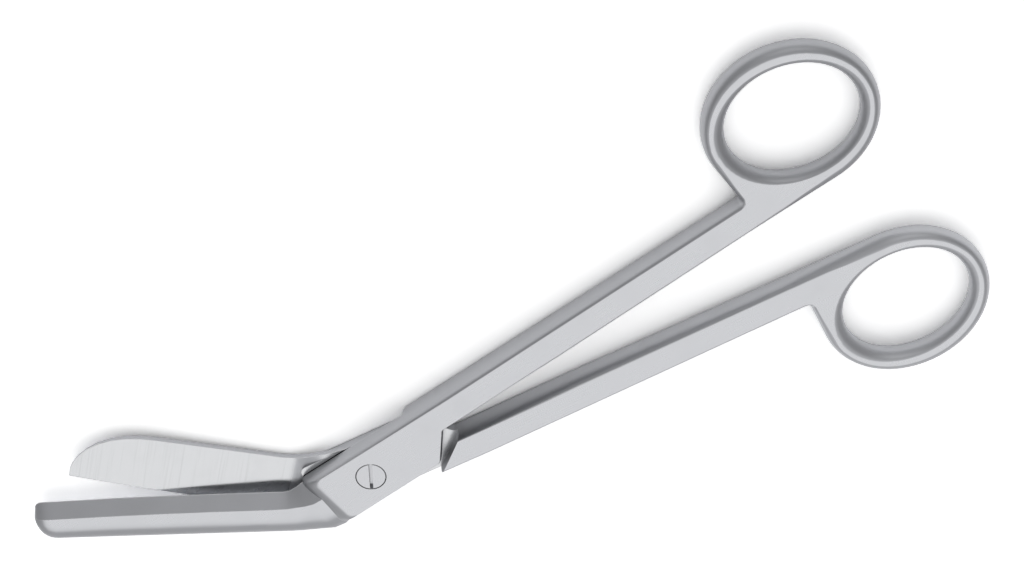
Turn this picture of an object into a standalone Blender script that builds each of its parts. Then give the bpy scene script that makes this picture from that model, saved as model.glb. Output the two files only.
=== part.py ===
"""Episiotomy scissors, 145 mm: two crossed steel arms that turn on a slotted pivot screw.

The blunt arm lies on top at the joint. Its blade is narrow and has a thick rounded end. The broad arm lies below,
with a wide blade that rounds off towards its point. Each arm is one forging: finger ring, shank, half-lap joint
block, elbow and blade. The screw's head is flush in the blunt arm and its thread holds in the broad arm.

World frame: the pivot axis is Z, the underside of the joint is Z = 0, and +X runs midway between the two shanks
towards the rings. Both arms are drawn in an arm frame of their own: x along the shank away from the pivot,
y towards the arm's outer side and z up from the lap plane, where the two blades slide on each other.
"""

import math
from dataclasses import dataclass

import bmesh
import bpy
from mathutils import Matrix, Vector
from mathutils.geometry import tessellate_polygon

MM = 0.001

# Joint block, the box that the two half laps make together.
LAP_HEIGHT = 2.6 * MM
LAP_GAP = 0.2 * MM
BLOCK_INNER = 4.45 * MM
BLOCK_OUTER = 4.3 * MM
BLOCK_FRONT = 7.0 * MM
BLOCK_FRONT_ROUND = 3.2 * MM
BLOCK_CORNER = 1.0 * MM
BLOCK_END = 10.4 * MM
BLOCK_END_ANGLE = math.radians(-40.8)
BLOCK_SIDE_BULGE = 0.35 * MM
SHOULDER = 10.1 * MM
SHOULDER_ANGLE = math.radians(49.7)
REST_OPENING = math.radians(9.1)

# Shank: a tapering bar with a flat upper and lower face and bulging sides.
SHANK_START = 18.0 * MM  # where the shank leaves the joint block
FULL_BULGE_START = 36.0 * MM
SHANK_INNER = 0.35 * MM
SHANK_WIDTH = 3.8 * MM
NECK_INNER = 0.45 * MM
NECK_WIDTH = 3.4 * MM
NECK_RUN = 2.5 * MM  # the inner side starts to bend this far before the outer corner
NECK_INSET = 1.0 * MM  # how far the outer corner reaches past the ring's near end
NECK_FILLET = 1.3 * MM
SHANK_BULGE = 0.8 * MM

# Finger ring: an oval with a narrow flat crest, rounded outwards and bevelled into the hole.
RING_CENTRE = (84.4 * MM, 11.1 * MM)
RING_TURN = math.radians(-10.0)
RING_OUTER = (12.9 * MM, 11.75 * MM)
RING_CREST_OUTER = (11.8 * MM, 10.2 * MM)
RING_CREST_INNER = (11.4 * MM, 9.4 * MM)
RING_HOLE = (9.8 * MM, 8.35 * MM)
RING_HOLE_SHIFT = 0.25 * MM
RING_HALF_HEIGHT = 1.65 * MM
BLUNT_ARM_OFFSET = -0.2 * MM  # how far each arm's shank and ring are ground to its outer side
BROAD_ARM_OFFSET = 0.35 * MM

# Blade heel: there the inner face leaves the lap plane, and the section turns square to the blade.
SET_START = 6.5 * MM
SET_END = 13.0 * MM
HEEL_END = 18.0 * MM
BEVEL_NARROWING = 3.5 * MM  # the bevel narrows over this length, up to just past the edge's corner
HEEL_STATIONS = 10
BLADE_STATIONS = 4
POINT_STATIONS = 8
POINT_END_SHARE = 0.985  # the last section stands a little before the point, where the width would be zero
WIDEST_BEVEL = 0.4  # share of a narrow section's width that the ground bevel may take

# Pivot screw.
HEAD_RADIUS = 2.3 * MM
HEAD_DEPTH = 1.5 * MM
SHAFT_RADIUS = 1.5 * MM
SCREW_CLEARANCE = 0.1 * MM
HOLE_OVERRUN = 1.0 * MM  # how far the hole's cutter stands out at either end
SLOT_WIDTH = 0.5 * MM
SLOT_DEPTH = 0.8 * MM
SLOT_TURN = math.radians(-31.0)
HEAD_RIM = 0.3 * MM
HEAD_CHAMFER = 0.08 * MM

# Fineness of the round forms.
RING_STEPS = 60
NECK_STEPS = 5
CORNER_STEPS = 4
SIDE_STEPS = 12
CROWN_STEPS = 8
SCREW_STEPS = 32
CUT_SHARE = 4.0  # reach of the lap's cutter over the block's length
SHARP_ANGLE = math.radians(30)

STEEL_COLOUR = (0.58, 0.585, 0.59, 1.0)
STEEL_ROUGHNESS = 0.24


@dataclass(frozen=True)
class Blade:
    """A blade in its own frame: s runs from the pivot towards the point, c sideways to the cutting edge."""

    angle: float  # turn from the arm frame's x axis to s, towards the arm's outer side
    length: float
    edge: float  # c of the cutting edge, halfway along
    edge_sag: float  # how far the edge falls back from a straight line at its ends
    edge_corner: float  # s at which the edge bends into the joint block's side
    edge_slope: float  # sideways step per unit of length after that bend
    back: float  # c of the back, halfway along
    back_taper: float  # how much nearer to the edge the back comes from halfway along to the point
    back_corner: float
    back_slope: float
    bend: float  # softness of both bends
    root: float  # s of the edge at the root, inside the joint block
    skew: float  # how much nearer to the pivot the back is than the edge, at the root
    ridge_height: float  # height of the outer ridge over the flat inner face
    bevel_run: float  # width of the ground bevel between edge and ridge
    heel_run: float  # width of that bevel at the heel
    crown: float  # fullness of the outer face: 2 is an ellipse, more is squarer
    point_length: float  # length over which the outline rounds off to the point
    point_depth: float  # how much of the width the rounding takes
    point_fullness: float
    nose_length: float  # length over which the edge rounds off to the point
    nose_depth: float  # how much of the width that rounding takes
    end_height: float  # share of the ridge height left at the very end
    set_back: float  # how far the inner face stands off the lap plane at the heel, closing towards the point


@dataclass(frozen=True)
class Arm:
    """One forging: which way up and round it goes, and where its shank runs."""

    name: str
    side: int  # 1 where the outer side is +Y, -1 where it is -Y
    upper: bool  # True where the joint block lies above the lap plane
    offset: float  # how far the shank and ring are ground off the drawn place, towards the outer side
    blade: Blade


BLUNT_BLADE = Blade(
    angle=math.radians(145.2),
    length=52.8 * MM,
    edge=-3.45 * MM,
    edge_sag=0.3 * MM,
    edge_corner=12.9 * MM,
    edge_slope=0.85,
    back=-10.7 * MM,
    back_taper=0.32 * MM,
    back_corner=5.4 * MM,
    back_slope=1.05,
    bend=1.2 * MM,
    root=7.8 * MM,
    skew=6.4 * MM,
    ridge_height=1.85 * MM,
    bevel_run=2.15 * MM,
    heel_run=3.8 * MM,
    crown=2.6,
    point_length=3.0 * MM,
    point_depth=3.8 * MM,
    point_fullness=2.2,
    nose_length=1.2 * MM,
    nose_depth=1.0 * MM,
    end_height=0.72,
    set_back=0.4 * MM,
)
BROAD_BLADE = Blade(
    angle=math.radians(-139.5),
    length=45.6 * MM,
    edge=11.45 * MM,
    edge_sag=0.5 * MM,
    edge_corner=5.7 * MM,
    edge_slope=-0.854,
    back=1.92 * MM,
    back_taper=0.3 * MM,
    back_corner=11.9 * MM,
    back_slope=-0.55,
    bend=2.0 * MM,
    root=2.6 * MM,
    skew=-1.8 * MM,
    ridge_height=1.45 * MM,
    bevel_run=1.8 * MM,
    heel_run=1.8 * MM,
    crown=9.0,
    point_length=12.4 * MM,
    point_depth=9.1 * MM,
    point_fullness=2.2,
    nose_length=1.0 * MM,
    nose_depth=0.0 * MM,
    end_height=0.2,
    set_back=1.0 * MM,
)
BLUNT_ARM = Arm("blunt_blade_arm", 1, True, BLUNT_ARM_OFFSET, BLUNT_BLADE)
BROAD_ARM = Arm("broad_blade_arm", -1, False, BROAD_ARM_OFFSET, BROAD_BLADE)


def clear_scene():
    """Removes every object of the scene that the script starts in."""
    for item in list(bpy.data.objects):
        bpy.data.objects.remove(item)


def steel(name):
    """A polished stainless steel material."""
    material = bpy.data.materials.new(name)
    material.use_nodes = True
    shader = material.node_tree.nodes["Principled BSDF"]
    shader.inputs["Base Color"].default_value = STEEL_COLOUR
    shader.inputs["Metallic"].default_value = 1.0
    shader.inputs["Roughness"].default_value = STEEL_ROUGHNESS
    return material


def mix(a, b, share):
    """The point or number that lies a share of the way from a to b."""
    return a + (b - a) * share


def ramp(distance, softness):
    """Zero before a bend and the distance past it after, joined by a parabola that reaches softness each way."""
    if distance <= -softness:
        return 0.0
    if distance >= softness:
        return distance
    return (distance + softness) ** 2 / (4 * softness)


def arc_at(corner, before, after, radius):
    """Points of the arc that rounds the corner between the points before and after it."""
    start = (before - corner).normalized()
    end = (after - corner).normalized()
    half = start.angle(end) / 2
    reach = radius / math.tan(half)
    first = corner + start * reach
    last = corner + end * reach
    middle = corner + (start + end).normalized() * (radius / math.sin(half))
    turn = (last - middle).angle_signed(first - middle)
    points = []
    for step in range(CORNER_STEPS + 1):
        points.append(middle + Matrix.Rotation(turn * step / CORNER_STEPS, 2) @ (first - middle))
    return points


def oval_point(size, angle, shift=0.0):
    """Point of an oval with the finger ring's turn and the given half length and half width."""
    local = Vector((size[0] * math.cos(angle) + shift, size[1] * math.sin(angle)))
    return Vector(RING_CENTRE) + Matrix.Rotation(RING_TURN, 2) @ local


def tangent_angle(size, point, side):
    """Angle at which a line from the point touches that oval, on the side given by 1 or -1."""
    local = Matrix.Rotation(-RING_TURN, 2) @ (point - Vector(RING_CENTRE))
    scaled = Vector((local.x / size[0], local.y / size[1]))
    return math.atan2(scaled.y, scaled.x) + side * math.acos(1 / scaled.length)


def handle_outline(arm, swell):
    """Outline of ring, shank and joint block as two chains: one round the ring and one round the block.

    swell is 0 at the edge of a flat face and 1 halfway up the sides, where they stand out the most.
    """
    offset = Vector((0.0, arm.offset))
    side = SHANK_BULGE * swell
    block_side = BLOCK_SIDE_BULGE * swell
    front = BLOCK_FRONT_ROUND * swell
    ring = [mix(flat, wide, swell) for flat, wide in zip(RING_CREST_OUTER, RING_OUTER)]
    neck_corner = RING_CENTRE[0] - RING_OUTER[0] + NECK_INSET
    neck_bend = neck_corner - NECK_RUN
    inner_start = Vector((SHANK_START, SHANK_INNER - block_side))
    full_share = (FULL_BULGE_START - SHANK_START) / (neck_bend - SHANK_START)
    full = Vector((FULL_BULGE_START, mix(SHANK_INNER, NECK_INNER, full_share) - side))
    bend = Vector((neck_bend, NECK_INNER - side))
    corner = Vector((neck_corner - side, NECK_INNER + NECK_WIDTH + side))
    outer_start = Vector((SHANK_START, SHANK_INNER + SHANK_WIDTH + side))
    first = tangent_angle(ring, bend, 1)
    last = tangent_angle(ring, corner, -1)
    while last < first:
        last += 2 * math.pi
    shank = [inner_start, full]
    for step in range(NECK_STEPS):
        shank.append(mix(bend, oval_point(ring, first), step / NECK_STEPS))
    for step in range(RING_STEPS + 1):
        shank.append(oval_point(ring, mix(first, last, step / RING_STEPS)))
    shank += arc_at(corner, shank[-1], outer_start, NECK_FILLET - side)
    shank.append(outer_start)
    shank = [point + offset for point in shank]
    inner_start, outer_start = shank[0], shank[-1]

    top_left = Vector((-BLOCK_FRONT - front, BLOCK_OUTER + side))
    low_left = Vector((-BLOCK_FRONT - front, -BLOCK_INNER - block_side))
    normal = Vector((math.cos(BLOCK_END_ANGLE), math.sin(BLOCK_END_ANGLE)))
    end = BLOCK_END + block_side
    low_right = Vector(((end - normal.y * low_left.y) / normal.x, low_left.y))
    notch = Vector(((end - normal.y * inner_start.y) / normal.x, inner_start.y))
    block = [outer_start]
    block += arc_at(top_left, outer_start, low_left, BLOCK_CORNER)
    block += arc_at(low_left, top_left, low_right, BLOCK_CORNER)
    block += arc_at(low_right, low_left, notch, BLOCK_CORNER)
    block += arc_at(notch, low_right, inner_start, BLOCK_CORNER / 2)
    block.append(inner_start)
    return shank, block


def hole_outline(arm, swell):
    """Outline of the ring's hole, which is narrowest where swell is 1."""
    size = [mix(flat, wide, swell) for flat, wide in zip(RING_CREST_INNER, RING_HOLE)]
    offset = Vector((0.0, arm.offset))
    points = []
    for step in range(RING_STEPS):
        points.append(oval_point(size, 2 * math.pi * step / RING_STEPS, RING_HOLE_SHIFT * swell) + offset)
    return points


def half_height(x):
    """Half the thickness at x: even at the joint block, then falling to the ring."""
    far = RING_CENTRE[0] + RING_OUTER[0]
    share = max(0.0, (x - SHANK_START) / (far - SHANK_START))
    return mix(LAP_HEIGHT, RING_HALF_HEIGHT, share)


def place(arm, x, y, z):
    """A point of the arm frame in the world, with the arm at its place when the scissors rest."""
    turned = Matrix.Rotation(arm.side * REST_OPENING / 2, 2) @ Vector((x, arm.side * y))
    return Vector((turned.x, turned.y, z + LAP_HEIGHT))


def handle_mesh(arm):
    """Ring, shank and joint block in full thickness, as levels of a section with flat faces and round sides."""
    chain = len(handle_outline(arm, 0.0)[0])
    bm = bmesh.new()
    loops = []
    holes = []
    for level in range(SIDE_STEPS + 1):
        angle = math.pi * (level / SIDE_STEPS - 0.5)
        swell = math.cos(angle)
        shank, block = handle_outline(arm, swell)
        for outline, stack in ((shank + block[1:-1], loops), (hole_outline(arm, swell), holes)):
            ring = []
            for point in outline:
                height = math.sin(angle) * half_height(point.x)
                ring.append(bm.verts.new(place(arm, point.x, point.y, height)))
            stack.append(ring)
    for stack in (loops, holes):
        for low, high in zip(stack, stack[1:]):
            for i in range(len(low)):
                j = (i + 1) % len(low)
                bm.faces.new((low[i], low[j], high[j], high[i]))
    for level in (0, -1):
        loop = loops[level]
        add_flat(bm, [loop[:chain], holes[level]])
        add_flat(bm, [loop[chain - 1:] + loop[:1]])
    return finished_mesh(bm, arm.name)


def add_flat(bm, rings):
    """Fills a flat outline, with the holes that follow it in the list."""
    verts = [vert for ring in rings for vert in ring]
    for triangle in tessellate_polygon([[vert.co for vert in ring] for ring in rings]):
        bm.faces.new([verts[i] for i in triangle])


def finished_mesh(bm, name):
    """Turns the faces outwards and shades the round ones smooth."""
    bmesh.ops.recalc_face_normals(bm, faces=bm.faces)
    mesh = bpy.data.meshes.new(name)
    bm.to_mesh(mesh)
    bm.free()
    mesh.shade_smooth()
    mesh.set_sharp_from_angle(angle=SHARP_ANGLE)
    return mesh


def smooth_share(value, start, end):
    """Share of the way from start to end, eased at both, and 0 before or 1 after them."""
    share = min(1.0, max(0.0, (value - start) / (end - start)))
    return share * share * (3 - 2 * share)


def rounded_off(blade, s, length):
    """Share of a rounding's depth that is gone at s, where the rounding takes that length up to the point."""
    past = min(1.0, max(0.0, (s - blade.length + length) / length))
    return 1 - (1 - past ** blade.point_fullness) ** (1 / blade.point_fullness)


def blade_edge(blade, s):
    """Sideways place of the cutting edge at s."""
    middle = mix(blade.root, blade.length, 0.5)
    share = (s - middle) / (blade.length - middle)
    edge = blade.edge - blade.edge_sag * share * share
    edge += blade.edge_slope * ramp(blade.edge_corner - s, blade.bend)
    return edge - blade.nose_depth * rounded_off(blade, s, blade.nose_length)


def blade_back(blade, s):
    """Sideways place of the back at s, rounded off towards the point."""
    middle = mix(blade.root, blade.length, 0.5)
    back = blade.back + blade.back_taper * (s - middle) / (blade.length - middle)
    back += blade.back_slope * ramp(blade.back_corner - s, blade.bend)
    return back + blade.point_depth * rounded_off(blade, s, blade.point_length)


def blade_stations(blade):
    """Places along the blade at which it has a section: close together at the root and the point."""
    shoulder = blade.length - blade.point_length
    stations = [mix(blade.root, HEEL_END, step / HEEL_STATIONS) for step in range(HEEL_STATIONS)]
    stations += [mix(HEEL_END, shoulder, step / BLADE_STATIONS) for step in range(BLADE_STATIONS)]
    for step in range(POINT_STATIONS + 1):
        share = math.sin(math.pi / 2 * step / POINT_STATIONS)
        stations.append(shoulder + blade.point_length * POINT_END_SHARE * share)
    return stations


def blade_set(blade, s):
    """Height of the inner face over the lap plane at s: full past the heel, and back to nothing at the point."""
    left = min(1.0, max(0.0, (blade.length - s) / (blade.length - SET_END)))
    return blade.set_back * smooth_share(s, SET_START, SET_END) * left


def blade_section(blade, s):
    """Corners of the section at s, as ((s, c), height over the lap plane), from the edge over the outer face."""
    lean = blade.skew * max(0.0, 1 - (s - blade.root) / (HEEL_END - blade.root))
    edge = Vector((s, blade_edge(blade, s)))
    back = Vector((s - lean, blade_back(blade, s - lean)))
    across = back - edge
    width = across.length
    past = max(0.0, (s - blade.length + blade.point_length) / blade.point_length)
    height = blade.ridge_height * mix(1.0, blade.end_height, past ** 3)
    narrow_end = blade.edge_corner + blade.bend / 2
    narrowed = smooth_share(s, narrow_end - BEVEL_NARROWING, narrow_end)
    run = min(mix(blade.heel_run, blade.bevel_run, narrowed), WIDEST_BEVEL * width)
    ridge = edge + across * (run / width)
    points = [(edge, 0.0), (ridge, height)]
    for step in range(1, CROWN_STEPS):
        angle = math.pi / 2 * step / CROWN_STEPS
        out = math.sin(angle) ** (2 / blade.crown)
        points.append((ridge + (back - ridge) * out, height * math.cos(angle) ** (2 / blade.crown)))
    points.append((back, 0.0))
    return [(point, over_face + blade_set(blade, point.x)) for point, over_face in points]


def blade_mesh(arm):
    """The blade as a loft of its sections, from inside the joint block to the point."""
    blade = arm.blade
    along = Vector((math.cos(blade.angle), math.sin(blade.angle)))
    across = Vector((along.y, -along.x))
    up = 1 if arm.upper else -1
    bm = bmesh.new()
    sections = []
    for s in blade_stations(blade):
        section = []
        for point, height in blade_section(blade, s):
            plan = along * point.x + across * point.y
            section.append(bm.verts.new(place(arm, plan.x, plan.y, up * (LAP_GAP / 2 + height))))
        sections.append(section)
    for near, far in zip(sections, sections[1:]):
        for i in range(len(near)):
            j = (i + 1) % len(near)
            bm.faces.new((near[i], near[j], far[j], far[i]))
    bm.faces.new(sections[0])
    bm.faces.new(sections[-1])
    return finished_mesh(bm, arm.name + "_blade")


def prism_mesh(name, arm, outline, low, high):
    """A prism over an outline in the arm frame, between two heights over the lap plane."""
    bm = bmesh.new()
    bottom = [bm.verts.new(place(arm, x, y, low)) for x, y in outline]
    top = [bm.verts.new(place(arm, x, y, high)) for x, y in outline]
    bm.faces.new(bottom)
    bm.faces.new(top)
    for i in range(len(bottom)):
        j = (i + 1) % len(bottom)
        bm.faces.new((bottom[i], bottom[j], top[j], top[i]))
    return finished_mesh(bm, name)


def lap_mesh(arm):
    """What is milled away on the other arm's side of the lap plane, up to the slanting shoulder."""
    normal = Vector((math.cos(SHOULDER_ANGLE), math.sin(SHOULDER_ANGLE)))
    along = Vector((-normal.y, normal.x))
    foot = normal * SHOULDER
    reach = CUT_SHARE * BLOCK_END
    outline = [
        foot - along * reach,
        foot + along * reach,
        foot + along * reach - normal * 2 * reach,
        foot - along * reach - normal * 2 * reach,
    ]
    if arm.upper:
        return prism_mesh(arm.name + "_lap", arm, outline, -reach, LAP_GAP / 2)
    return prism_mesh(arm.name + "_lap", arm, outline, -LAP_GAP / 2, reach)


def turned_mesh(name, profile):
    """A solid turned about the pivot axis from (radius, height) points, lowest first."""
    bm = bmesh.new()
    rings = []
    for radius, height in profile:
        ring = []
        for step in range(SCREW_STEPS):
            angle = 2 * math.pi * step / SCREW_STEPS
            ring.append(bm.verts.new((radius * math.cos(angle), radius * math.sin(angle), height)))
        rings.append(ring)
    for low, high in zip(rings, rings[1:]):
        for i in range(SCREW_STEPS):
            j = (i + 1) % SCREW_STEPS
            bm.faces.new((low[i], low[j], high[j], high[i]))
    bm.faces.new(rings[0])
    bm.faces.new(rings[-1])
    return finished_mesh(bm, name)


def add_object(name, mesh, material=None):
    """Puts a mesh into the scene, as a piece with a material or as a hidden cutter without one."""
    item = bpy.data.objects.new(name, mesh)
    bpy.context.collection.objects.link(item)
    if material:
        mesh.materials.append(material)
    else:
        item.hide_render = True
        item.display_type = "WIRE"
    return item


def add_boolean(item, other, operation):
    """Joins another object to the item, or cuts it out of the item."""
    modifier = item.modifiers.new(other.name, "BOOLEAN")
    modifier.operation = operation
    modifier.object = other
    modifier.solver = "EXACT"


def screw_profile(clearance, below, above):
    """Half section of the screw, or of its hole when the clearance is over zero."""
    joint_height = 2 * LAP_HEIGHT
    shaft = SHAFT_RADIUS + clearance
    head = HEAD_RADIUS + clearance
    profile = [(shaft, -below), (shaft, joint_height - HEAD_DEPTH - clearance), (head, joint_height - clearance)]
    if above > 0:
        profile.append((head, joint_height + above))
    else:
        profile[-1] = (head, joint_height - HEAD_RIM)
        profile.append((head, joint_height - HEAD_CHAMFER))
        profile.append((head - HEAD_CHAMFER, joint_height))
    return profile


def make_arm(arm, bore):
    """One arm, with its origin on the pivot axis."""
    body = add_object(arm.name, handle_mesh(arm), steel(arm.name + "_steel"))
    lap = add_object(arm.name + "_lap", lap_mesh(arm))
    blade = add_object(arm.name + "_blade", blade_mesh(arm))
    add_boolean(body, lap, "DIFFERENCE")
    add_boolean(body, blade, "UNION")
    add_boolean(body, bore, "DIFFERENCE")
    return body


def make_screw():
    """The slotted pivot screw, flush with the top of the joint and with its underside."""
    screw = add_object("pivot_screw", turned_mesh("pivot_screw", screw_profile(0.0, 0.0, 0.0)), steel("screw_steel"))
    bm = bmesh.new()
    bmesh.ops.create_cube(bm, size=1.0)
    joint_height = 2 * LAP_HEIGHT
    bmesh.ops.scale(bm, vec=(SLOT_WIDTH, 4 * HEAD_RADIUS, 2 * SLOT_DEPTH), verts=bm.verts)
    bmesh.ops.rotate(bm, matrix=Matrix.Rotation(SLOT_TURN, 3, "Z"), verts=bm.verts)
    bmesh.ops.translate(bm, vec=(0, 0, joint_height), verts=bm.verts)
    slot = add_object("screw_slot", finished_mesh(bm, "screw_slot"))
    add_boolean(screw, slot, "DIFFERENCE")
    return screw


def main():
    """Makes the three pieces, the two arms with the same screw hole."""
    clear_scene()
    hole = screw_profile(SCREW_CLEARANCE, HOLE_OVERRUN, HOLE_OVERRUN)
    bore = add_object("screw_hole", turned_mesh("screw_hole", hole))
    make_arm(BLUNT_ARM, bore)
    make_arm(BROAD_ARM, bore)
    make_screw()


main()
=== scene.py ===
"""Episiotomy scissors on a pale studio floor: the finish of the steel, the light and the camera.

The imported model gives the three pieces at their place: the blunt arm, the broad arm and the pivot screw.
Lengths are in metres. Material patterns read object coordinates, so they stay on a piece when its arm turns.
"""

import logging
import math
from dataclasses import dataclass, field
from enum import Enum
from typing import Any, Mapping, Union

import bpy
from mathutils import Matrix, Vector

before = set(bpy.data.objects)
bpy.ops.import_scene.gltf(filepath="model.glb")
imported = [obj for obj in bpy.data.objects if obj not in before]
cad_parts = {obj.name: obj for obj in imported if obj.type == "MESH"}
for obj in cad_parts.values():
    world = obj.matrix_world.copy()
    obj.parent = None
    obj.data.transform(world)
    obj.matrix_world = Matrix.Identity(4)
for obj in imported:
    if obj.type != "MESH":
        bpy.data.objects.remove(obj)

MM = 0.001
UP = Vector((0.0, 0.0, 1.0))
Colour = tuple[float, float, float]
Direction = tuple[float, float, float]
Span = tuple[float, float]  # where a smooth step leaves 0 and where it reaches 1
Number = Union[float, "Signal"]
Paint = Union[Colour, "Signal"]

# Heights and turns in the part's frame. A turn goes round Z from +X, towards the rings.
LAP_HEIGHT = 2.6 * MM  # the plane between the two halves of the joint
TOP_HEIGHT = 5.2 * MM  # the upper face of the joint and of the screw
FACE_LOWEST = 1.4 * MM  # the broad blade's inner face stays above this height
REST_TURN = math.radians(9.1) / 2  # the blunt arm's shank, and the other way the broad arm's
BROAD_BLADE_TURN = math.radians(139.5) - REST_TURN
SLOT_TURN = math.radians(59.0)  # the slot of the screw

log = logging.getLogger("scissors")


class Grain(Enum):
    """The marks of the last tool, as how many turns a metre they make along and across."""

    BELT = (120.0, 5200.0)
    WHEEL = (60.0, 3400.0)


class Signal:
    """A number that varies over a surface. Arithmetic on it adds Math nodes."""

    def __init__(self, bench: "Bench", socket: bpy.types.NodeSocket) -> None:
        """Wraps an output socket of a tree that the bench works on."""
        self.bench = bench
        self.socket = socket

    def _math(self, operation: str, *terms: Number) -> "Signal":
        """Adds one Math node and returns what it gives."""
        return self.bench.out("ShaderNodeMath", {"operation": operation}, dict(enumerate(terms)))

    def __add__(self, other: Number) -> "Signal":
        """Sum."""
        return self._math("ADD", self, other)

    __radd__ = __add__

    def __sub__(self, other: Number) -> "Signal":
        """Difference."""
        return self._math("SUBTRACT", self, other)

    def __rsub__(self, other: Number) -> "Signal":
        """Difference from a plain number."""
        return self._math("SUBTRACT", other, self)

    def __mul__(self, other: Number) -> "Signal":
        """Product."""
        return self._math("MULTIPLY", self, other)

    __rmul__ = __mul__

    def __abs__(self) -> "Signal":
        """Distance from zero."""
        return self._math("ABSOLUTE", self)

    def larger(self, other: Number) -> "Signal":
        """The larger of this and another number."""
        return self._math("MAXIMUM", self, other)

    def smaller(self, other: Number) -> "Signal":
        """The smaller of this and another number."""
        return self._math("MINIMUM", self, other)

    def rise(self, start: float, end: float) -> "Signal":
        """A smooth step.

        Args:
            start: The value at which the step leaves 0.
            end: The value at which it reaches 1. It may be the lower of the two.

        Returns:
            The step, between 0 and 1.
        """
        settings = {"interpolation_type": "SMOOTHSTEP", "clamp": True}
        if start <= end:
            return self.bench.out("ShaderNodeMapRange", settings, {0: self, 1: start, 2: end})
        return 1 - self.bench.out("ShaderNodeMapRange", settings, {0: self, 1: end, 2: start})

    def band(self, middle: float, half: float, soft: float) -> "Signal":
        """A soft-edged band that is 1 around a value.

        Args:
            middle: The value in the middle of the band.
            half: Half the width over which the band is 1.
            soft: The width over which it falls to 0.

        Returns:
            The band, between 0 and 1.
        """
        return abs(self - middle).rise(half + soft, half)


class Bench:
    """The node tree of one material, world or modifier, and the ways to add to it."""

    def __init__(self, tree: bpy.types.NodeTree) -> None:
        """Takes the tree and empties it."""
        self.tree = tree
        self.tree.nodes.clear()

    def node(
        self,
        kind: str,
        settings: Mapping[str, Any] | None = None,
        inputs: Mapping[int | str, Any] | None = None,
    ) -> bpy.types.Node:
        """Adds a node of any kind.

        Args:
            kind: The node's type.
            settings: Its own settings, which are set first.
            inputs: Its sockets' values, by index or name: a number, a vector, or a signal or socket to link.

        Returns:
            The node.
        """
        made = self.tree.nodes.new(kind)
        for name, value in (settings or {}).items():
            setattr(made, name, value)
        for key, value in (inputs or {}).items():
            source = value.socket if isinstance(value, Signal) else value
            if isinstance(source, bpy.types.NodeSocket):
                self.tree.links.new(source, made.inputs[key])
            else:
                made.inputs[key].default_value = source
        return made

    def out(
        self,
        kind: str,
        settings: Mapping[str, Any] | None = None,
        inputs: Mapping[int | str, Any] | None = None,
        output: int | str = 0,
    ) -> Signal:
        """Adds a node as node() does and returns one of its outputs as a signal."""
        return Signal(self, self.node(kind, settings, inputs).outputs[output])

    def colour_mix(self, share: Number, first: Paint, second: Paint) -> Signal:
        """Mixes two colours.

        Args:
            share: How much of the second colour there is.
            first: A colour, as three numbers or a signal.
            second: The other colour.

        Returns:
            The mixed colour.
        """
        settings = {"data_type": "RGBA"}
        pair = [(*end, 1.0) if isinstance(end, tuple) else end for end in (first, second)]
        return self.out("ShaderNodeMix", settings, {0: share, 6: pair[0], 7: pair[1]}, 2)

    def vector_dot(self, vector: Signal, direction: Union[Vector, Signal]) -> Signal:
        """How far a vector reaches along a direction."""
        settings = {"operation": "DOT_PRODUCT"}
        return self.out("ShaderNodeVectorMath", settings, {0: vector, 1: direction}, "Value")

    def joined(self, x: Number, y: Number, z: Number) -> Signal:
        """A vector from three numbers."""
        return self.out("ShaderNodeCombineXYZ", None, {0: x, 1: y, 2: z})

    def noise(self, vector: Signal, scale: float, detail: float) -> Signal:
        """Soft noise, about 0 to 1, over a vector."""
        return self.out("ShaderNodeTexNoise", None, {"Vector": vector, "Scale": scale, "Detail": detail})


@dataclass(frozen=True)
class Lay:
    """The directions along and across a worked surface, at rest."""

    turn: float  # of the long direction

    @property
    def along(self) -> Vector:
        """Unit vector down the length."""
        return Vector((math.cos(self.turn), math.sin(self.turn), 0.0))

    @property
    def across(self) -> Vector:
        """Unit vector to the left of the length."""
        return Vector((-math.sin(self.turn), math.cos(self.turn), 0.0))


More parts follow.
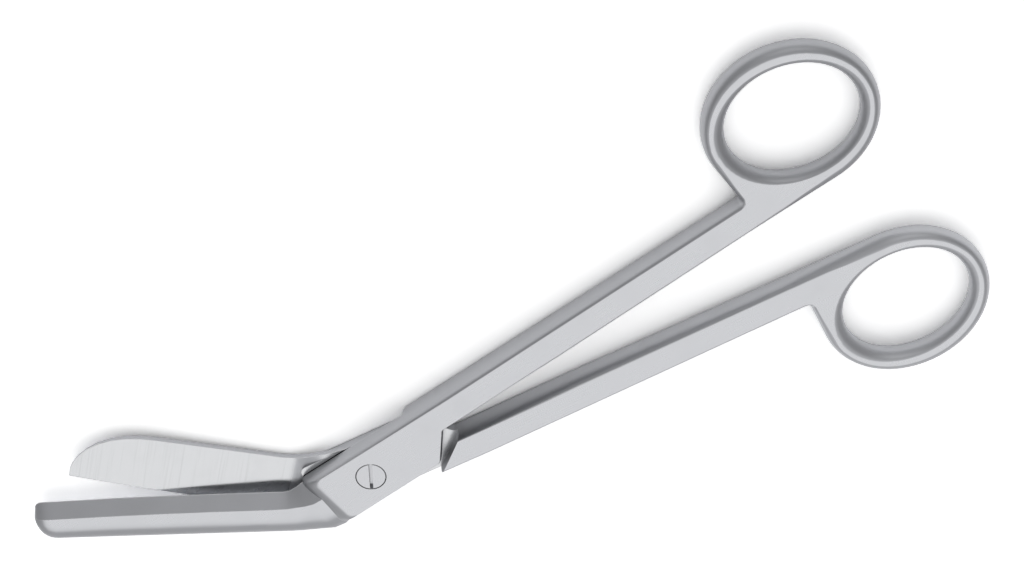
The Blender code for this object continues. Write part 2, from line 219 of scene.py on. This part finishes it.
@dataclass(frozen=True)
class SteelFinish:
    """Stainless steel as it leaves the polisher: satin faces and rubbed edges, with painted shade on its
    steep sides and in its crevices.
    """

    name: str
    shank: Lay
    blade: Lay | None = None  # given where the blade shows a ground inner face
    colour: Colour = (0.583, 0.59, 0.612)
    # painted shade: a darker colour on faces that stand steep, the sides and walls
    side_shade_colour: Colour = (0.37, 0.375, 0.394)
    ground_colour: Colour = (0.652, 0.66, 0.674)
    rubbed_colour: Colour = (0.7, 0.707, 0.72)
    shade_colour: Colour = (0.3, 0.305, 0.315)
    # painted shade: mixed in where ambient occlusion finds crevices
    crevice_shade_colour: Colour = (0.15, 0.153, 0.162)
    roughness: float = 0.28
    side_roughness: float = 0.44
    ground_roughness: float = 0.2
    rubbed_roughness: float = 0.2
    side_facing: Span = (0.999, 0.976)  # how far up a face looks, from flat to side
    face_facing: Span = (0.98, 0.995)
    face_fade: float = 0.1 * MM
    edge_radius: float = 0.09 * MM
    edge_samples: int = 6
    rubbed_reach: float = 0.18 * MM
    rubbed_samples: int = 4
    rubbed_lean: Span = (0.995, 0.9)  # the cosine between a face's normal and the rounded one
    rubbed_share: float = 0.7
    crevice_reach: float = 1.6 * MM
    crevice_samples: int = 8
    crevice_open: Span = (0.75, 0.2)  # the share of open sky over a crevice
    screw_clear: Span = (3.0 * MM, 3.6 * MM)  # no painted shade in crevices nearer to the pivot than this
    cloud_scale: float = 180.0
    cloud_detail: float = 4.0
    cloud_dark: Span = (0.55, 0.8)
    cloud_share: float = 0.05
    cloud_roughness: float = 0.08
    streak_detail: float = 3.0
    streak_roughness: float = 0.06
    scratch_level: Span = (0.5, 0.75)
    scratch_share: float = 0.1
    speck_scale: float = 900.0
    speck_size: Span = (0.12, 0.05)
    speck_chance_scale: float = 700.0
    speck_chance: Span = (0.66, 0.7)
    speck_share: float = 0.25
    speck_roughness: float = 0.1
    grain_depth: float = 0.002 * MM
    grain_strength: float = 0.35

    def dress(self, piece: bpy.types.Object) -> None:
        """Gives a piece this finish in every material slot."""
        material = bpy.data.materials.new(self.name)
        material.use_nodes = True
        self._build(Bench(material.node_tree))
        for slot in piece.material_slots:
            slot.material = material

    def _build(self, bench: Bench) -> None:
        """Builds the nodes of the finish."""
        place = bench.out("ShaderNodeTexCoord", None, None, "Object")
        normal = bench.out("ShaderNodeNewGeometry", None, None, "Normal")
        facing_up = bench.vector_dot(normal, UP)
        ground = self._ground_face(bench.vector_dot(place, UP), facing_up)
        side = abs(facing_up).rise(*self.side_facing)
        crevice_shade = self._crevice_shade(bench, place)
        rubbed = self._rubbed_edges(bench, normal)
        cloud = bench.noise(place, self.cloud_scale, self.cloud_detail)
        marks = self._marks(bench, place, ground)
        specks = self._specks(bench, place)

        colour = bench.colour_mix(ground, self.colour, self.ground_colour)
        # painted shade: the steep sides get the darker side colour
        colour = bench.colour_mix(side, colour, self.side_shade_colour)
        colour = bench.colour_mix(rubbed * self.rubbed_share, colour, self.rubbed_colour)
        scratched = ground * marks.rise(*self.scratch_level) * self.scratch_share
        colour = bench.colour_mix(scratched, colour, self.shade_colour)
        clouded = cloud.rise(*self.cloud_dark) * self.cloud_share
        dirt = (clouded + specks * self.speck_share).smaller(1.0)
        colour = bench.colour_mix(dirt, colour, self.shade_colour)
        # painted shade in crevices, found by ambient occlusion
        colour = bench.colour_mix(crevice_shade, colour, self.crevice_shade_colour)

        roughness = self.roughness + ground * (self.ground_roughness - self.roughness)
        roughness = roughness + side * (self.side_roughness - self.roughness)
        roughness = roughness + rubbed * (self.rubbed_roughness - self.roughness)
        roughness = roughness + (cloud - 0.5) * self.cloud_roughness
        roughness = roughness + (marks - 0.5) * self.streak_roughness
        roughness = roughness + specks * self.speck_roughness

        settings = {"samples": self.edge_samples}
        rounded = bench.node("ShaderNodeBevel", settings, {"Radius": self.edge_radius})
        bump = bench.out(
            "ShaderNodeBump",
            None,
            {
                "Strength": self.grain_strength,
                "Distance": self.grain_depth,
                "Height": marks - specks,
                "Normal": rounded.outputs[0],
            },
        )
        shader = bench.node(
            "ShaderNodeBsdfPrincipled",
            None,
            {
                "Base Color": colour,
                "Metallic": 1.0,
                "Roughness": roughness,
                "Normal": bump,
            },
        )
        bench.node("ShaderNodeOutputMaterial", None, {"Surface": shader.outputs[0]})

    def _ground_face(self, height: Signal, facing_up: Signal) -> Number:
        """Where the flat inner face of a blade shows, at and under the lap plane."""
        if self.blade is None:
            return 0.0
        middle = (LAP_HEIGHT + FACE_LOWEST) / 2
        level = height.band(middle, LAP_HEIGHT - middle, self.face_fade)
        return level * facing_up.rise(*self.face_facing)

    def _crevice_shade(self, bench: Bench, place: Signal) -> Signal:
        """Painted shade in crevices, found by ambient occlusion: the shoulders of the joint and the blades'
        heel.
        """
        flat = bench.out(
            "ShaderNodeVectorMath", {"operation": "MULTIPLY"}, {0: place, 1: (1.0, 1.0, 0.0)}, "Vector"
        )
        from_pivot = bench.out("ShaderNodeVectorMath", {"operation": "LENGTH"}, {0: flat}, "Value")
        settings = {"samples": self.crevice_samples}
        open_share = bench.out(
            "ShaderNodeAmbientOcclusion", settings, {"Distance": self.crevice_reach}, "AO"
        )
        return open_share.rise(*self.crevice_open) * from_pivot.rise(*self.screw_clear)

    def _rubbed_edges(self, bench: Bench, normal: Signal) -> Signal:
        """Where an edge is rounded by polishing, from how far the rounded normal leans away."""
        settings = {"samples": self.rubbed_samples}
        rounded = bench.out("ShaderNodeBevel", settings, {"Radius": self.rubbed_reach})
        return bench.vector_dot(rounded, normal).rise(*self.rubbed_lean)

    def _marks(self, bench: Bench, place: Signal, ground: Number) -> Signal:
        """Fine polishing marks: along the shank, and across the ground face of a blade."""
        shank = self._streaks(bench, place, self.shank.along, self.shank.across, Grain.BELT)
        if self.blade is None:
            return shank
        blade = self._streaks(bench, place, self.blade.across, self.blade.along, Grain.WHEEL)
        return shank + ground * (blade - shank)

    def _streaks(
        self,
        bench: Bench,
        place: Signal,
        along: Vector,
        across: Vector,
        grain: Grain,
    ) -> Signal:
        """Noise drawn out along one direction.

        Args:
            bench: The tree to add to.
            place: Object coordinates.
            along: The direction of the streaks.
            across: The direction in which they follow each other.
            grain: The tool whose marks they are.

        Returns:
            The streaks, about 0 to 1.
        """
        lengthwise, sidewise = grain.value
        drawn = bench.joined(
            bench.vector_dot(place, along) * lengthwise,
            bench.vector_dot(place, across) * sidewise,
            bench.vector_dot(place, UP) * sidewise,
        )
        return bench.noise(drawn, 1.0, self.streak_detail)

    def _specks(self, bench: Bench, place: Signal) -> Signal:
        """A few fine pits."""
        sockets = {"Vector": place, "Scale": self.speck_scale}
        cells = bench.out("ShaderNodeTexVoronoi", None, sockets, "Distance")
        chance = bench.noise(place, self.speck_chance_scale, 1.0)
        return cells.rise(*self.speck_size) * chance.rise(*self.speck_chance)


class ShadedSolid:
    """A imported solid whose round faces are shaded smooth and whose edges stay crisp."""

    crease: float = math.radians(24.0)
    weld: float = 0.001 * MM
    flat_weight: int = 80

    @classmethod
    def smooth(cls, piece: bpy.types.Object) -> None:
        """Adds the modifiers that join the facets and shade them by their angle."""
        shading = piece.modifiers.new("shading", "NODES")
        shading.node_group = cls._group()
        weighted = piece.modifiers.new("flat_faces", "WEIGHTED_NORMAL")
        weighted.keep_sharp = True
        weighted.weight = cls.flat_weight

    @classmethod
    def _group(cls) -> bpy.types.GeometryNodeTree:
        """The node group that welds the facets and marks the creases, made once."""
        found = bpy.data.node_groups.get("shade_by_angle")
        if found:
            return found
        group = bpy.data.node_groups.new("shade_by_angle", "GeometryNodeTree")
        group.interface.new_socket("Geometry", in_out="INPUT", socket_type="NodeSocketGeometry")
        group.interface.new_socket("Geometry", in_out="OUTPUT", socket_type="NodeSocketGeometry")
        bench = Bench(group)
        start = bench.node("NodeGroupInput")
        welded = bench.node(
            "GeometryNodeMergeByDistance", None, {"Geometry": start.outputs[0], "Distance": cls.weld}
        )
        angle = bench.node("GeometryNodeInputMeshEdgeAngle")
        sharp = bench.node(
            "FunctionNodeCompare",
            {"data_type": "FLOAT", "operation": "GREATER_THAN"},
            {0: angle.outputs[0], 1: cls.crease},
        )
        smooth = bench.node("GeometryNodeSetShadeSmooth", None, {"Geometry": welded.outputs[0]})
        creased = bench.node(
            "GeometryNodeSetShadeSmooth",
            {"domain": "EDGE"},
            {"Geometry": smooth.outputs[0], "Selection": sharp.outputs[0], "Shade Smooth": False},
        )
        bench.node("NodeGroupOutput", None, {0: creased.outputs[0]})
        return group


@dataclass
class SteelPiece:
    """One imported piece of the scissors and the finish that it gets."""

    node: str
    finish: SteelFinish

    def dress(self) -> bpy.types.Object:
        """Shades and finishes the piece.

        Returns:
            The piece's object.
        """
        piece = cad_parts[self.node]
        ShadedSolid.smooth(piece)
        self.finish.dress(piece)
        return piece


@dataclass
class Scissors:
    """The whole pair."""

    blunt_arm: SteelPiece = field(
        default_factory=lambda: SteelPiece(
            "blunt_blade_arm",
            SteelFinish("blunt_arm_steel", Lay(REST_TURN)),
        )
    )
    broad_arm: SteelPiece = field(
        default_factory=lambda: SteelPiece(
            "broad_blade_arm",
            SteelFinish(
                "broad_arm_steel",
                Lay(-REST_TURN),
                Lay(BROAD_BLADE_TURN),
                # painted shade on this arm's steep sides, a little lighter than on the other pieces
                side_shade_colour=(0.43, 0.436, 0.457),
            ),
        )
    )
    pivot_screw: SteelPiece = field(
        default_factory=lambda: SteelPiece(
            "pivot_screw",
            SteelFinish("screw_steel", Lay(SLOT_TURN)),
        )
    )

    def build(self) -> None:
        """Dresses each piece and reports it."""
        for piece in (self.blunt_arm, self.broad_arm, self.pivot_screw):
            dressed = piece.dress()
            log.info("dressed %s: %d facets", dressed.name, len(dressed.data.polygons))


@dataclass
class PictureView:
    """The photograph's camera, which looks down on the scissors from the upper side of the picture."""

    focal: float = 2100.0  # in pixels of the photograph
    width: float = 1024.0
    height: float = 577.0
    tilt: float = math.radians(31.5)
    roll: float = math.radians(3.0)
    pixel: float = 0.147 * MM  # a pixel's length where the line of sight meets the lap plane
    pivot: tuple[float, float] = (370.9, 476.9)
    heading: float = math.radians(32.45)  # turn from the part's frame to the picture's
    sensor: float = 36.0  # in millimetres, as Blender wants it

    @property
    def distance(self) -> float:
        """From the camera to the lap plane, along the line of sight."""
        return self.focal * self.pixel

    def plane_axes(self) -> tuple[Vector, Vector, Vector]:
        """Right, up and normal of the lap plane as the camera sees them."""
        normal = Vector(
            (
                math.sin(self.tilt) * math.sin(self.roll),
                -math.sin(self.tilt) * math.cos(self.roll),
                math.cos(self.tilt),
            )
        )
        right = (Vector((1.0, 0.0, 0.0)) - normal * normal.x).normalized()
        return right, normal.cross(right), normal

    def to_part(self) -> Matrix:
        """The turn from the picture's plane to the part's frame."""
        return Matrix.Rotation(-self.heading, 3, "Z")

    def towards(self, direction: Direction) -> Vector:
        """A direction of the picture's plane, as a unit vector in the part's frame."""
        return self.to_part() @ Vector(direction).normalized()

    def pivot_on_plane(self) -> Vector:
        """Where the pivot lies on the lap plane, from where the camera sees the screw's top.

        Returns:
            The place, counted from the point of the plane that the camera looks at.
        """
        right, up, normal = self.plane_axes()
        sight = Vector(
            (self.pivot[0] - self.width / 2, self.height / 2 - self.pivot[1], -self.focal)
        )
        eye = Vector((0.0, 0.0, self.distance))
        level = TOP_HEIGHT - LAP_HEIGHT - self.distance * normal.z
        hit = sight * (level / sight.dot(normal)) + eye
        return Vector((hit.dot(right), hit.dot(up), 0.0))

    def eye(self) -> Vector:
        """Where the camera stands."""
        seen = Matrix(self.plane_axes()) @ Vector((0.0, 0.0, self.distance)) - self.pivot_on_plane()
        return self.to_part() @ seen + Vector((0.0, 0.0, LAP_HEIGHT))

    def build(self) -> None:
        """Makes the camera and gives it to the scene."""
        turned = self.to_part() @ Matrix(self.plane_axes())
        data = bpy.data.cameras.new("picture_view")
        data.sensor_width = self.sensor
        data.lens = self.sensor * self.focal / self.width
        camera = bpy.data.objects.new("picture_view", data)
        camera.matrix_world = Matrix.Translation(self.eye()) @ turned.to_4x4()
        bpy.context.scene.collection.objects.link(camera)
        bpy.context.scene.camera = camera
        log.info("placed the camera, %.0f mm from the joint", self.distance / MM)


@dataclass
class Studio:
    """A pale floor in a soft tent, with a broad panel below the picture and a small one above it."""

    view: PictureView
    floor_size: float = 4.0
    floor_colour: float = 0.94
    seen_colour: float = 1.74  # the floor as the camera and the polished steel see it
    dim: float = 0.4  # level of the tent
    bright: float = 1.08  # level of the broad panel
    panel: Direction = (0.06, -0.52, 0.85)  # right, up and out of the picture's plane
    panel_rim: Span = (math.cos(math.radians(52.0)), math.cos(math.radians(22.0)))
    small_bright: float = 1.25
    small_panel: Direction = (0.0, 0.7, 0.71)
    small_rim: Span = (math.cos(math.radians(26.0)), math.cos(math.radians(12.0)))
    horizon: float = 0.93  # level of the pale backdrop all round
    horizon_rim: Span = (math.sin(math.radians(16.0)), math.sin(math.radians(6.0)))

    def build(self) -> None:
        """Makes the floor and the sky."""
        self._floor()
        self._sky()
        log.info("laid the floor and hung the tent")

    def _floor(self) -> None:
        """The floor, at the underside of the joint."""
        mesh = bpy.data.meshes.new("studio_floor")
        half = self.floor_size / 2
        corners = [(-half, -half, 0.0), (half, -half, 0.0), (half, half, 0.0), (-half, half, 0.0)]
        mesh.from_pydata(corners, [], [(0, 1, 2, 3)])
        floor = bpy.data.objects.new("studio_floor", mesh)
        bpy.context.scene.collection.objects.link(floor)
        material = bpy.data.materials.new("studio_floor")
        material.use_nodes = True
        bench = Bench(material.node_tree)
        path = bench.node("ShaderNodeLightPath")
        camera = Signal(bench, path.outputs["Is Camera Ray"])
        seen = camera.larger(Signal(bench, path.outputs["Is Glossy Ray"]))
        seen = seen.larger(Signal(bench, path.outputs["Is Transmission Ray"]))
        grey = seen * (self.seen_colour - self.floor_colour) + self.floor_colour
        matt = bench.node("ShaderNodeBsdfDiffuse", None, {"Color": bench.joined(grey, grey, grey)})
        bench.node("ShaderNodeOutputMaterial", None, {"Surface": matt.outputs[0]})
        mesh.materials.append(material)

    def _sky(self) -> None:
        """The soft light all round, the same for the camera and for the steel."""
        world = bpy.data.worlds.new("studio_sky")
        world.use_nodes = True
        bpy.context.scene.world = world
        bench = Bench(world.node_tree)
        direction = bench.out("ShaderNodeTexCoord", None, None, "Generated")
        panel = bench.vector_dot(direction, self.view.towards(self.panel))
        level = panel.rise(*self.panel_rim) * (self.bright - self.dim) + self.dim
        small = bench.vector_dot(direction, self.view.towards(self.small_panel))
        level = level + small.rise(*self.small_rim) * (self.small_bright - level)
        horizon = bench.vector_dot(direction, UP).rise(*self.horizon_rim)
        level = level + horizon * (self.horizon - level)
        sockets = {"Color": (1.0, 1.0, 1.0, 1.0), "Strength": level}
        soft = bench.node("ShaderNodeBackground", None, sockets)
        bench.node("ShaderNodeOutputWorld", None, {"Surface": soft.outputs[0]})


def main() -> None:
    """Dresses the scissors and sets up the studio."""
    logging.basicConfig(level=logging.INFO, format="%(name)s: %(message)s")
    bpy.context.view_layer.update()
    Scissors().build()
    view = PictureView()
    view.build()
    Studio(view).build()
    bpy.context.scene.view_settings.view_transform = "Standard"


if __name__ == "__main__":
    main()
